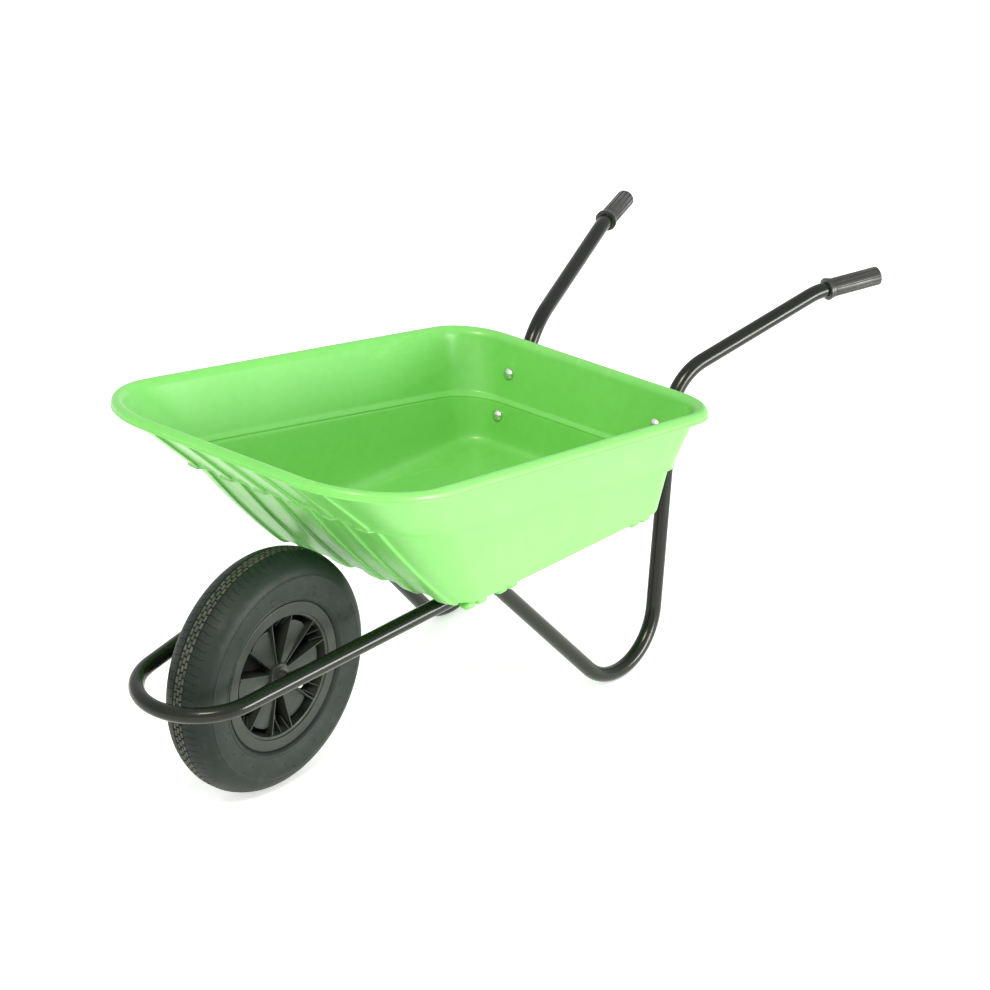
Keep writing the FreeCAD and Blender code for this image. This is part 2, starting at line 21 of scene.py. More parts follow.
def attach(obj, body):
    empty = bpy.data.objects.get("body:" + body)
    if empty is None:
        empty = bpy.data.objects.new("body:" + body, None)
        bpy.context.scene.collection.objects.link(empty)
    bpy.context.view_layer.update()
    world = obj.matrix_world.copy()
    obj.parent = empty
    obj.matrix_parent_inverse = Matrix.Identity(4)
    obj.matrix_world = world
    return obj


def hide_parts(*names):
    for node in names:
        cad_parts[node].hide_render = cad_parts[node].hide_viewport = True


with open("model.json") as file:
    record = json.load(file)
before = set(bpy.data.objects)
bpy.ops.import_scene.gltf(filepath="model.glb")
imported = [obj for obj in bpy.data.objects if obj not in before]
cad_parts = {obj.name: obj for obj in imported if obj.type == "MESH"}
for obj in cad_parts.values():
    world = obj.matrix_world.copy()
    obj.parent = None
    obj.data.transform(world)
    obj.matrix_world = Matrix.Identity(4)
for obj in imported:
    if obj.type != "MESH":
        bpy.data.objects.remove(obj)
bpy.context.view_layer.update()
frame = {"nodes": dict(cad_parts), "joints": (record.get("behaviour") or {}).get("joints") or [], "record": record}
nodes = frame["nodes"]
spin_joint = frame["joints"][0]
AXLE = Vector(spin_joint["pos_m"])
MM = 0.001

# %% [markdown]
# ## The camera first
#
# A camera with a long lens, about six and a half metres away, keeps the barrow's sides nearly
# parallel. It could be aimed with a Track To constraint, but a matrix built from three
# directions (right, up, back) says exactly where it looks and how far it is rolled, and
# nothing can move it later.

# %% Camera
AIM = Vector((-0.0618, 0.0, 0.2926))
AZIMUTH = math.radians(129.4)
ELEVATION = math.radians(24.4)
ROLL = math.radians(1.3)
DISTANCE = 6.582
LENS = 155.67
SENSOR = 36.0

back = Vector((math.sin(AZIMUTH) * math.cos(ELEVATION), -math.cos(AZIMUTH) * math.cos(ELEVATION),
               math.sin(ELEVATION)))
level_right = (-back).cross(Vector((0, 0, 1))).normalized()
level_up = back.cross(level_right)
right = level_right * math.cos(ROLL) + level_up * math.sin(ROLL)
up = level_up * math.cos(ROLL) - level_right * math.sin(ROLL)

bpy.ops.object.select_all(action="DESELECT")
bpy.ops.object.camera_add(location=AIM + back * DISTANCE)
camera = bpy.context.object
camera.name = "camera"
facing = Matrix((right, up, back)).transposed().to_4x4()
camera.matrix_world = Matrix.Translation(AIM + back * DISTANCE) @ facing
camera.data.lens = LENS
camera.data.sensor_width = SENSOR
camera.data.clip_end = 60.0
bpy.context.scene.camera = camera
print("camera at", [round(value, 3) for value in camera.location])

# %% [markdown]
# ## A few bench tools
#
# Every operator acts on whatever is selected, so each step starts from a clean selection.
# `take` names the newest primitive and moves its place into its mesh, so that the object
# itself stays at the origin. `edit` opens a piece with nothing selected, and `leave` closes it.

# %% Selecting, naming and finishing pieces
def start_clean():
    if bpy.context.object and bpy.context.object.mode != "OBJECT":
        bpy.ops.object.mode_set(mode="OBJECT")
    bpy.ops.object.select_all(action="DESELECT")


def take(name):
    piece = bpy.context.object
    piece.name = name
    piece.data.name = name
    bpy.ops.object.transform_apply(location=True, rotation=True, scale=True)
    return piece


def edit(piece, kind="VERT"):
    start_clean()
    bpy.context.view_layer.objects.active = piece
    piece.select_set(True)
    bpy.ops.object.mode_set(mode="EDIT")
    bpy.ops.mesh.select_mode(type=kind)
    bpy.ops.mesh.select_all(action="DESELECT")
    return bmesh.from_edit_mesh(piece.data)


def leave(piece, merge=0.0):
    if merge:
        bpy.ops.mesh.select_all(action="SELECT")
        bpy.ops.mesh.remove_doubles(threshold=merge)
        bpy.ops.mesh.normals_make_consistent(inside=False)
    bpy.ops.object.mode_set(mode="OBJECT")
    return piece


def apply_modifier(piece, kind, **settings):
    start_clean()
    bpy.context.view_layer.objects.active = piece
    piece.select_set(True)
    modifier = piece.modifiers.new(kind.title(), kind)
    for key, value in settings.items():
        setattr(modifier, key, value)
    bpy.ops.object.modifier_apply(modifier=modifier.name)


def smooth(piece, degrees):
    start_clean()
    bpy.context.view_layer.objects.active = piece
    piece.select_set(True)
    bpy.ops.object.shade_smooth_by_angle(angle=math.radians(degrees))


def copy_of(piece, name, matrix):
    twin = piece.copy()
    twin.data = piece.data.copy()
    twin.name = twin.data.name = name
    bpy.context.scene.collection.objects.link(twin)
    twin.data.transform(matrix)
    if matrix.determinant() < 0:
        edit(twin)
        leave(twin, merge=0.00001)
    return twin


def join(pieces, name):
    start_clean()
    for piece in pieces:
        piece.select_set(True)
    bpy.context.view_layer.objects.active = pieces[0]
    bpy.ops.object.join()
    pieces[0].name = pieces[0].data.name = name
    return pieces[0]


def report(piece):
    piece.data.calc_loop_triangles()
    low = [round(min(v.co[i] for v in piece.data.vertices), 4) for i in range(3)]
    high = [round(max(v.co[i] for v in piece.data.vertices), 4) for i in range(3)]
    print(piece.name, "triangles", len(piece.data.loop_triangles), "from", low, "to", high)


# %% [markdown]
# ## The tub's outline at any height
#
# The real tub is moulded in one piece from a tough plastic: flat floor, sloping walls with one
# step all round, a rolled rim, and ribs down the front. Seen from above, each level of it is a
# rounded rectangle that is a little wider in front than behind. A single function draws that
# rounded rectangle, and the whole tub is then a stack of such outlines. The alternative, a box
# with bevelled edges, could not give corner radii that change from the floor to the rim.
#
# An outline is eight numbers: its height above the ground straight over the axle, its rise per
# metre forward, the distances of the front and rear walls forward of the axle, the half widths
# at both, and the corner radii at both.

# %% Tub outlines
FLOOR = (0.2708, 0.0, -0.213, -0.701, 0.200, 0.200, 0.048, 0.048)
RIDGE_LOW = (0.4573, 0.159, -0.042, -0.716, 0.250, 0.217, 0.098, 0.072)
RIDGE_HIGH = (0.4643, 0.159, -0.024, -0.722, 0.256, 0.223, 0.098, 0.072)
WALL_TOP = (0.5418, 0.152, 0.081, -0.743, 0.287, 0.245, 0.131, 0.072)
RIM = (0.5418, 0.152, 0.100, -0.762, 0.306, 0.264, 0.150, 0.091)
WALL = 0.0045
FRONT_EXTRA = 0.42          # share of the wall's thickness that the front wall's slope adds
SMALLEST_CORNER = 0.012


def mix(first, second, share):
    return tuple(a + (b - a) * share for a, b in zip(first, second))


def inset(ring, amount, rise=0.0):
    """The same outline moved inward all round, and up."""
    level, tilt, front, rear, half_front, half_rear, round_front, round_rear = ring
    return (level + rise, tilt, front - amount, rear + amount, half_front - amount,
            half_rear - amount, max(round_front - amount, SMALLEST_CORNER),
            max(round_rear - amount, SMALLEST_CORNER))


def inner(ring):
    """The inside of the wall. The sloping front wall takes more room along the barrow."""
    level, tilt, front, *others = inset(ring, WALL)
    return (level, tilt, front - FRONT_EXTRA * WALL, *others)


# %% [markdown]
# The points of an outline are not evenly spaced. The front wall needs eight for each rib (four
# close together at each side, so that the edges stay crisp), the corners need enough for a smooth
# arc, and the straight sides need few. All outlines have the same number of points in the same
# order, so that each point of one joins the same point of the next.

# %% Points round an outline
ARC_STEPS = 9
SIDE_POINTS = 6
REAR_POINTS = 5
RIB_PITCH = 0.066
RIB_MIDDLES = (0.033, 0.099, 0.165)
RIB_HALF = 0.011
RIB_HIGH = 0.0042
EDGE = 0.0008               # run of a rib's flank
EASE = 0.0016               # room beside each edge, which keeps it crisp


def front_stations():
    """Distances from the middle of the front wall, each with its share of the rib's height."""
    stations = [(0.0, 0.0)]
    flank = [(RIB_HALF + EDGE + EASE, 0.0), (RIB_HALF + EDGE, 0.0), (RIB_HALF, 1.0),
             (RIB_HALF - EASE, 1.0)]
    for middle in RIB_MIDDLES:
        stations += [(middle - away, rib) for away, rib in flank]
        stations += [(middle + away, rib) for away, rib in reversed(flank)]
        if middle != RIB_MIDDLES[-1]:
            stations.append((middle + RIB_PITCH / 2, 0.0))
    return stations


def corner_arc(corner, before, after, radius):
    """Centre of the arc that rounds a corner, and its first and last point."""
    half = before.angle(after) / 2
    centre = corner + (before + after).normalized() * (radius / math.sin(half))
    reach = radius / math.tan(half)
    return centre, corner + before * reach, corner + after * reach


def turned_points(centre, start, end, count):
    """Points from start to end on an arc round a centre."""
    first = start - centre
    angle = first.angle_signed(end - centre)
    points = []
    for step in range(count):
        turn = -angle * step / (count - 1)
        points.append(centre + Matrix.Rotation(turn, 2) @ first)
    return points


NEAR_CORNER = 0.9           # share of the front's half width where ribs still point forward


def half_outline(ring):
    """The left half, from the middle of the front to the middle of the rear: (x, y, rib)."""
    _, _, front, rear, half_front, half_rear, round_front, round_rear = ring
    front_corner = Vector((front, half_front))
    rear_corner = Vector((rear, half_rear))
    along = (rear_corner - front_corner).normalized()
    inward = Vector((0.0, -1.0))
    centre, _, side_start = corner_arc(front_corner, inward, along, round_front)
    rear_centre, side_end, rear_start = corner_arc(rear_corner, -along, inward, round_rear)
    squeeze = min(1.0, (half_front - SMALLEST_CORNER) / front_stations()[-1][0])
    points = []
    for station, rib in front_stations():
        y = station * squeeze
        over = max(0.0, y - centre.y)
        x = centre.x + math.sqrt(max(0.0, round_front ** 2 - over ** 2))
        points.append((x, y, rib))
    last = Vector(points[-1][:2])
    points += [(p.x, p.y, 0.0) for p in turned_points(centre, last, side_start, ARC_STEPS + 1)[1:]]
    for step in range(1, SIDE_POINTS + 1):
        point = side_start.lerp(side_end, step / (SIDE_POINTS + 1))
        points.append((point.x, point.y, 0.0))
    points += [(p.x, p.y, 0.0) for p in turned_points(rear_centre, side_end, rear_start, ARC_STEPS)]
    for step in range(1, REAR_POINTS + 1):
        y = rear_start.y * (1 - step / REAR_POINTS)
        points.append((rear_start.x, y, 0.0))
    return points


def outline(ring, rib_high=0.0, dip=0.0):
    """All points of a ring in the frame. The ribs stand out at an angle of dip below level."""
    level, tilt = ring[:2]
    left = half_outline(ring)
    whole = left + [(x, -y, rib) for x, y, rib in reversed(left[1:-1])]
    points = []
    for index, (x, y, rib) in enumerate(whole):
        before = whole[index - 1]
        after = whole[(index + 1) % len(whole)]
        outward = Vector((after[1] - before[1], before[0] - after[0], 0.0)).normalized()
        if rib and abs(y) < NEAR_CORNER * ring[4]:
            outward = (outward + Vector((1.0, 0.0, 0.0))).normalized()
        point = Vector((AXLE.x + x, y, level + tilt * x))
        push = outward * math.cos(dip) - Vector((0.0, 0.0, math.sin(dip)))
        points.append(point + push * (rib * rib_high))
    return points


COLUMNS = len(outline(FLOOR))
print("each outline of the tub has", COLUMNS, "points")

# %% [markdown]
# ## Stack the outlines
#
# The tub's skin is one closed surface. It starts under the floor, turns up round the floor's
# edge, climbs the outside, rolls over the rim and comes down inside to the floor again. The
# lists below walk that way. An entry outside is an outline, how far the front ribs stand out
# there, and how far below level they point. The lip and the inside have no ribs.

# %% The walk from the underside, over the rim, to the inside
FILLET = 0.012              # radius of the floor's rounded edge, outside and inside
INNER_FILLET = 0.036
LOWER_WALL = 0.182          # about the front wall's height from the floor to the ridge
STEP_FACE = 0.0046          # height of the ridge's rounded face
CREASE = 0.0008             # depth of the thin line at the ridge's lower edge
CREASE_RISE = 0.0006
INNER_CREASE = 0.7 * CREASE
RIB_DIP = 0.764             # the ribs' angles below level, on the wall and at the floor's edge
RIB_DIP_LOW = 1.45
DOWN = 1.57                 # a quarter turn
INNER_FLOOR = FLOOR[0] + 0.0046
FLAT_FROM = 0.055           # the floor inside is one flat face from this far in


def wall_rings(low, high, shares):
    """Outlines between two others, with the ribs standing out of them."""
    return [(mix(low, high, share), RIB_HIGH, RIB_DIP) for share in shares]


def outside_rings():
    rings = [(inset(FLOOR, amount), 0.0, DOWN) for amount in (0.060, 0.033, 0.0285)]
    for step in range(6):
        t = step / 5
        low = mix(FLOOR, RIDGE_LOW, FILLET * t * t / LOWER_WALL)
        dip = RIB_DIP_LOW + (RIB_DIP - RIB_DIP_LOW) * t
        rings.append((inset(low, FILLET * (1 - t) ** 2), RIB_HIGH, dip))
    rings += wall_rings(FLOOR, RIDGE_LOW, (0.2, 0.4, 0.6, 0.8, 0.93, 0.985, 1.0))
    brow = inset(RIDGE_HIGH, 0.0, -STEP_FACE)
    rings.append((inset(RIDGE_LOW, CREASE, CREASE_RISE), RIB_HIGH, RIB_DIP))
    rings += wall_rings(RIDGE_LOW, brow, (0.3, 0.88, 1.0))
    rings += wall_rings(brow, RIDGE_HIGH, (0.15, 0.85, 1.0))
    rings += wall_rings(RIDGE_HIGH, WALL_TOP, (0.03, 0.12, 0.35, 0.7, 0.97))
    return rings


# The lip's section: millimetres inward of the rim's edge, and up from the lip's lower edge.
LIP_WALK = (
    (19.0, 2.5), (17.8, 7.0), (14.8, 9.8), (11.8, 10.5), (8.8, 9.8), (5.8, 7.4), (4.6, 4.0),
    (4.5, 0.7), (3.9, 0.1), (1.0, 0.0), (0.25, 0.4), (0.0, 1.3), (0.05, 2.5), (0.55, 3.0),
    (1.1, 3.3), (1.0, 4.0), (0.9, 6.6), (1.7, 9.9), (4.0, 13.0), (7.6, 14.8), (11.6, 14.9),
    (15.6, 13.6), (19.2, 11.0), (21.8, 7.2), (23.2, 3.2))


def lip_rings():
    return [(inset(RIM, across * MM, rise * MM),) for across, rise in LIP_WALK]


def inner_rings(low, high, shares):
    return [(inner(mix(low, high, share)),) for share in shares]


def inside_rings():
    rings = inner_rings(RIDGE_HIGH, WALL_TOP, (0.97, 0.6, 0.25, 0.09, 0.03))
    rings += inner_rings(RIDGE_LOW, RIDGE_HIGH, (1.0, 0.8, 0.2, 0.0))
    rings += [(inset(inner(RIDGE_LOW), -INNER_CREASE, -drop),) for drop in (0.0012, 0.0034)]
    rings += inner_rings(FLOOR, RIDGE_LOW, (0.97, 0.94, 0.8, 0.6, 0.42, 0.28))
    for step in range(1, 7):
        t = 1 - step / 6
        low = inner(mix(FLOOR, RIDGE_LOW, INNER_FILLET * t * t / LOWER_WALL))
        ring = inset(low, INNER_FILLET * (1 - t) ** 2)
        rings.append(((ring[0] + (INNER_FLOOR - FLOOR[0]) * (1 - t), *ring[1:]),))
    rings.append(((INNER_FLOOR, *inset(FLOOR, FLAT_FROM)[1:]),))
    return rings


# %% [markdown]
# By hand this is one circle, extruded again and again, with each new ring slid onto its
# outline. A whole-number layer called `column` remembers which point is which; extruding
# copies it to the new points.

# %% Pull the tub's skin up from a circle
def start_ring(name, points):
    start_clean()
    bpy.ops.mesh.primitive_circle_add(vertices=len(points), radius=0.1, fill_type="NOTHING")
    piece = take(name)
    mesh = edit(piece, "EDGE")
    column = mesh.verts.layers.int.new("column")
    mesh.verts.ensure_lookup_table()
    for index, vertex in enumerate(mesh.verts):
        vertex[column] = index
        vertex.co = points[index]
    bpy.ops.mesh.select_all(action="SELECT")
    bmesh.update_edit_mesh(piece.data)
    return piece


def pull_ring(piece, points):
    bpy.ops.mesh.extrude_edges_move()
    mesh = bmesh.from_edit_mesh(piece.data)
    column = mesh.verts.layers.int["column"]
    for vertex in mesh.verts:
        if vertex.select:
            vertex.co = points[vertex[column]]
    bmesh.update_edit_mesh(piece.data)


MERGE = 0.00002
SHARP = 32                  # edges that turn by more degrees than this stay sharp

walk = outside_rings() + lip_rings() + inside_rings()
tub = start_ring("tub_shell", outline(*walk[0]))
for ring in walk[1:]:
    pull_ring(tub, outline(*ring))
bpy.ops.mesh.edge_face_add()
bpy.ops.mesh.select_all(action="DESELECT")
bpy.ops.mesh.select_non_manifold()
bpy.ops.mesh.edge_face_add()
leave(tub, merge=MERGE)
apply_modifier(tub, "SUBSURF", levels=1, render_levels=1)
smooth(tub, SHARP)
apply_modifier(tub, "WEIGHTED_NORMAL", keep_sharp=True)
report(tub)

# %% [markdown]
# ## Lugs and pads under and behind the tub
#
# Short rounded lugs stand under the edge of the floor, in pairs, and four blocks behind the
# rear wall take the bolts to the frame. They are cubes with bevelled edges. The four blocks lean
# back with the wall that they touch.

# %% A bevelled block
def bevelled_block(name, low, high, width, segments=3):
    start_clean()
    centre = [(a + b) / 2 for a, b in zip(low, high)]
    lengths = [b - a for a, b in zip(low, high)]
    bpy.ops.mesh.primitive_cube_add(size=1, location=centre, scale=lengths)
    piece = take(name)
    edit(piece)
    bpy.ops.mesh.select_all(action="SELECT")
    bpy.ops.mesh.bevel(offset=width, segments=segments, profile=0.5)
    return leave(piece)


# %% Lugs and pads
LUG_STATIONS = (-0.240, -0.266, -0.313, -0.337, -0.630, -0.655)
LUG_SIDE = 0.182            # from the middle of the barrow
LUG_HALF_LONG = 0.0112
LUG_HALF_WIDE = 0.010
LUG_DEEP = 0.0108
LUG_HIGH = 0.0135
LUG_ROUND = 0.0064
PAD_SIDE = 0.149
PAD_HALF_WIDE = 0.020
PAD_LONG = 0.026
PADS = ((0.389, -0.7305, 0.264), (0.323, -0.7090, 0.206))   # bolt height, wall, lean of the wall


def lug(x, y):
    low = FLOOR[0] - LUG_DEEP
    return bevelled_block("lug", (x - LUG_HALF_LONG, y - LUG_HALF_WIDE, low),
                          (x + LUG_HALF_LONG, y + LUG_HALF_WIDE, low + LUG_HIGH), LUG_ROUND)


def bolt_pad(front, y, height, lean):
    pad = bevelled_block("pad", (front - PAD_LONG, y - PAD_HALF_WIDE, height - 0.024),
                         (front, y + PAD_HALF_WIDE, height + 0.012), 0.003)
    for vertex in pad.data.vertices:
        vertex.co.x -= lean * (vertex.co.z - height)
    return pad


lugs = [lug(AXLE.x + station, LUG_SIDE * side) for station in LUG_STATIONS for side in (-1, 1)]
lugs += [bolt_pad(AXLE.x + wall, PAD_SIDE * side, height, lean)
         for height, wall, lean in PADS for side in (-1, 1)]
tub_lugs = join(lugs, "tub_lugs")
smooth(tub_lugs, 60)
report(tub_lugs)

# %% [markdown]
# ## Turned pieces
#
# The tyre and the wheel halves are round about the axle, so each starts as a closed section
# that is spun a full turn, as on a lathe. A section is a list of points: the distance from the
# axle and the distance from the wheel's middle plane, both in millimetres here because that
# is how such sections are drawn.

# %% Spin a section about the axle
def spin_section(name, section, steps):
    points = [AXLE + Vector((0.0, y * MM, radius * MM)) for radius, y in section]
    piece = start_ring(name, points)
    bpy.ops.mesh.spin(steps=steps, angle=2 * math.pi, center=AXLE, axis=(0, 1, 0),
                      use_auto_merge=False)
    return leave(piece, merge=MERGE)


def about_axle(degrees):
    """Turn about the axle; positive turns +X towards +Z."""
    turn = Matrix.Rotation(-math.radians(degrees), 4, "Y")
    return Matrix.Translation(AXLE) @ turn @ Matrix.Translation(-AXLE)


# %% [markdown]
# ## The tyre
#
# A wheelbarrow tyre is a fat rubber ring. Its tread has a sunk band round the middle with three
# rows of small blocks, and thin wavy cuts (sipes) across both shoulders. The section below is
# one side of it; the other side is its mirror image. Cutting the sipes with Booleans would be
# slow and leave ragged edges. Instead the spin has four columns for each cut: two stand close
# beside a third that is pushed in, and the fourth is the middle of the block between two cuts.

# %% The tyre's section
CROWN = 150.0               # the crown is half an ellipse that starts at this radius
CROWN_HIGH = 37.0
CROWN_HALF = 44.0
TYRE_SIDE = [(184.5, 4.0), (184.4, 8.6), (184.7, 9.3), (186.0, 9.6), (186.1, 10.4)]
for y in (13.0, 16.0, 19.0, 22.0, 25.0, 28.0, 31.0, 34.0, 37.0, 39.5, 41.5):
    TYRE_SIDE.append((CROWN + CROWN_HIGH * math.sqrt(1 - (y / CROWN_HALF) ** 2), y))
TYRE_SIDE += [
    (158.2, 42.7), (157.2, 43.3), (156.6, 43.8), (156.0, 43.4), (153.0, 43.7), (148.0, 43.8),
    (141.0, 43.6), (134.0, 42.9), (128.5, 41.9), (125.2, 41.0), (124.4, 41.5), (122.4, 41.4),
    (120.4, 40.4), (118.2, 38.6), (116.4, 36.6), (115.7, 34.8), (112.0, 34.6), (97.0, 32.8),
    (96.4, 31.5), (96.4, 22.0), (108.0, 25.0), (124.0, 33.0), (146.0, 38.0), (166.0, 33.0),
    (177.5, 20.0)]

# %% Sipes
SIPES = 92
SIPE_FIRST = 9.5            # millimetres from the middle plane to a sipe's two ends
SIPE_LAST = 27.0
SIPE_DEEP = 1.1 * MM
SIPE_WAVE = 0.10
SIPE_SPLIT = (0.0, 0.032, 0.5, 0.968)       # where the four columns stand between two sipes
OUTER_SKIN = 0.165          # points nearer to the axle than this are inside the tyre


def sipe_wave(across):
    """How far round the wheel a sipe wanders, as a share of the gap between two sipes."""
    along = (abs(across) - SIPE_FIRST) / (SIPE_LAST - SIPE_FIRST)
    return SIPE_WAVE * math.sin(2 * math.pi * min(1.0, max(0.0, along)))


def cut_sipes(piece):
    column_angle = 2 * math.pi / (4 * SIPES)
    for vertex in piece.data.vertices:
        arm = vertex.co - AXLE
        radius = math.hypot(arm.x, arm.z)
        count = round(math.atan2(arm.z, arm.x) / column_angle)
        group, part = divmod(count, 4)
        across = arm.y / MM
        side_shift = 0.5 if across < 0 else 0.0
        place = group + SIPE_SPLIT[part] + sipe_wave(across) + side_shift
        if part == 0 and SIPE_FIRST <= abs(across) <= SIPE_LAST and radius > OUTER_SKIN:
            radius -= SIPE_DEEP
        angle = place * 2 * math.pi / SIPES
        vertex.co = AXLE + Vector((radius * math.cos(angle), arm.y, radius * math.sin(angle)))


# %% Spin the tyre and cut its sipes
tyre_section = [(184.5, 0.0)] + TYRE_SIDE + [(181.0, 0.0)]
tyre_section += [(radius, -y) for radius, y in reversed(TYRE_SIDE)]
tyre = spin_section("tyre_case", tyre_section, 4 * SIPES)
cut_sipes(tyre)
smooth(tyre, 40)
report(tyre)

# %% [markdown]
# The blocks of the sunk band are one small bevelled block, copied round the wheel in three
# rows, with the middle row half a step on. Small rubber pips, left by the mould's air holes,
# are scattered over the sidewalls in the same way.

# %% Tread blocks
def around_wheel(seed, places, name):
    """Copies of a seed piece about the axle; each place is degrees round and metres across."""
    copies = []
    for degrees, across in places:
        matrix = about_axle(degrees) @ Matrix.Translation((0.0, across, 0.0))
        copies.append(copy_of(seed, name, matrix))
    whole = join(copies, name)
    bpy.data.objects.remove(seed)
    return whole


BLOCKS = 96
BLOCK_TOP = 0.1868
BLOCK_DEEP = 0.0040
BLOCK_HALF_WIDE = 0.0021
BLOCK_HALF_LONG = 0.0046
ROW_GAP = 0.0056


def tread_block():
    top = AXLE.x + BLOCK_TOP
    return bevelled_block("block", (top - BLOCK_DEEP, -BLOCK_HALF_WIDE, AXLE.z - BLOCK_HALF_LONG),
                          (top, BLOCK_HALF_WIDE, AXLE.z + BLOCK_HALF_LONG), 0.0006, segments=1)


rows = []
for row in (-1, 0, 1):
    for count in range(BLOCKS):
        shift = 0.5 if row == 0 else 0.0
        rows.append(((count + shift) * 360 / BLOCKS, row * ROW_GAP))
tread = around_wheel(tread_block(), rows, "tread_blocks")
report(tread)


# %% Mould pips
# Radius and distance from the middle plane, number in the ring, and degrees to the first one.
PIP_RINGS = ((0.139, 0.0437, 16, 4), (0.1295, 0.0424, 11, 15), (0.151, 0.0438, 9, 31))


def mould_pip(radius, across):
    start_clean()
    bpy.ops.mesh.primitive_cone_add(vertices=6, radius1=0.0010, radius2=0.0005, depth=0.0016,
                                    location=AXLE + Vector((radius, across, 0.0)),
                                    rotation=(-math.pi / 2, 0, 0))
    return take("pip")


def pip_ring(radius, across, count, start):
    """One ring of pips on the left sidewall, at slightly uneven distances."""
    places = [(start + index * 360 / count + 7 * math.sin(5 * index), 0.0)
              for index in range(count)]
    return around_wheel(mould_pip(radius, across), places, "pips")


MIRROR = Matrix.Scale(-1, 4, (0, 1, 0))
pips = []
for ring in PIP_RINGS:
    left = pip_ring(*ring)
    pips += [copy_of(left, "pips", MIRROR), left]
tyre_pips = join(pips, "tyre_pips")
report(tyre_pips)

# %% [markdown]
# ## The wheel halves
#
# Two plastic mouldings, left and right, make the wheel's centre. Each has a barrel that the
# tyre sits on, a flat ring on its face, a deep web, and six petals that run out from the hub.
# Thin fins stiffen the pockets between the petals. The turned part is a spun section again;
# the petals are a grid that is shaped, thickened and bevelled once, and then copied.

# %% The turned part of a wheel half
HALF_SECTION = (
    (95.9, 0.3), (95.9, 31.4), (97.2, 32.4), (112.4, 34.0), (114.2, 34.6), (115.0, 35.6),
    (114.8, 36.5), (113.8, 37.0), (112.4, 36.9), (99.6, 36.5), (98.5, 36.2), (98.0, 35.4),
    (97.6, 34.4), (95.0, 34.1), (93.8, 33.5), (93.4, 32.0), (92.2, 8.0), (91.2, 4.6), (88.6, 3.2),
    (24.0, 3.2), (20.6, 4.4), (19.6, 7.0), (19.0, 27.5), (18.2, 30.0), (16.4, 31.0),
    (12.6, 31.0), (12.6, 0.3))
turned = spin_section("turned", HALF_SECTION, 144)
smooth(turned, 35)
report(turned)

# %% One petal and its two side ribs
PETALS = 6
PETAL_START = 15.0          # all petal sizes are in millimetres, from the axle outwards
PETAL_END = 84.0
PETAL_FULL = 76.0           # the petal has its full width from here
PETAL_ROOT_HALF = 5.0
PETAL_SPREAD = 17.5
PETAL_ROUND = 7.5           # how much shorter its two sides are than its middle
PETAL_DISH = 2.4
PETAL_FACE = 24.6           # distance from the wheel's middle plane
PETAL_THICK = 0.0032


def petal_half_width(along):
    share = (along - PETAL_START) / (PETAL_FULL - PETAL_START)
    return PETAL_ROOT_HALF + PETAL_SPREAD * min(1.0, share)


def petal():
    start_clean()
    bpy.ops.mesh.primitive_grid_add(x_subdivisions=10, y_subdivisions=8, size=2)
    piece = take("petal")
    for vertex in piece.data.vertices:
        out = (vertex.co.x + 1) / 2
        side = vertex.co.y
        end = PETAL_END - PETAL_ROUND * abs(side) ** 3
        along = PETAL_START + (end - PETAL_START) * out
        dish = PETAL_DISH * (1 - side * side) * math.sin(math.pi * out)
        away = side * petal_half_width(along)
        vertex.co = AXLE + Vector((along * MM, (PETAL_FACE - dish) * MM, away * MM))
    apply_modifier(piece, "SOLIDIFY", thickness=PETAL_THICK, offset=0.0)
    edit(piece)
    leave(piece, merge=0.00001)
    apply_modifier(piece, "BEVEL", width=0.0007, segments=2, limit_method="ANGLE")
    smooth(piece, 40)
    return piece


WEB = 0.003                 # ribs and fins start from the web, this far from the middle plane
RIB_LONG = 0.078
RIB_OUT = 0.0335            # the rib's outer end reaches up to the flat ring
RIB_LEAN = 16.5


def side_rib(side):
    rib = bevelled_block("rib", (0.0, WEB, -0.0010), (RIB_LONG, 0.0275, 0.0010), 0.0004, segments=1)
    mesh = edit(rib)
    for vertex in mesh.verts:
        if vertex.co.x > 0.07 and vertex.co.y > 0.02:
            vertex.co.y = RIB_OUT
    bmesh.update_edit_mesh(rib.data)
    leave(rib)
    lean = Matrix.Rotation(-math.radians(RIB_LEAN * side), 4, "Y")
    rib.data.transform(Matrix.Translation(AXLE + Vector((0.016, 0.0, side * 0.005))) @ lean)
    return rib


# %% Fins in the pockets
FIN_START = 0.0765
FIN_LONG = 0.017
FIN_CUT = 0.012             # a fin is this much lower at its inner end
FIN_STEP = 9.5


def pocket_fin(degrees):
    fin = bevelled_block("fin", (0.0, WEB, -0.0009), (FIN_LONG, 0.0325, 0.0009), 0.0003, segments=1)
    mesh = edit(fin)
    for vertex in mesh.verts:
        if vertex.co.x < 0.008 and vertex.co.y > 0.02:
            vertex.co.y -= FIN_CUT
    bmesh.update_edit_mesh(fin.data)
    leave(fin)
    place = Matrix.Translation(AXLE + Vector((FIN_START, 0.0, 0.0)))
    fin.data.transform(about_axle(degrees) @ place)
    return fin


def copies_round(seed, count, name):
    copies = [copy_of(seed, name, about_axle(360 * index / count)) for index in range(count)]
    bpy.data.objects.remove(seed)
    return copies


parts = [turned]
for seed in [petal(), side_rib(-1), side_rib(1)]:
    parts += copies_round(seed, PETALS, "spoke")
for offset in (-FIN_STEP, 0.0, FIN_STEP):
    parts += copies_round(pocket_fin(180 / PETALS + offset), PETALS, "fin")
wheel_left = join(parts, "wheel_centre_left")
wheel_right = copy_of(wheel_left, "wheel_centre_right", MIRROR)
report(wheel_left)
report(wheel_right)

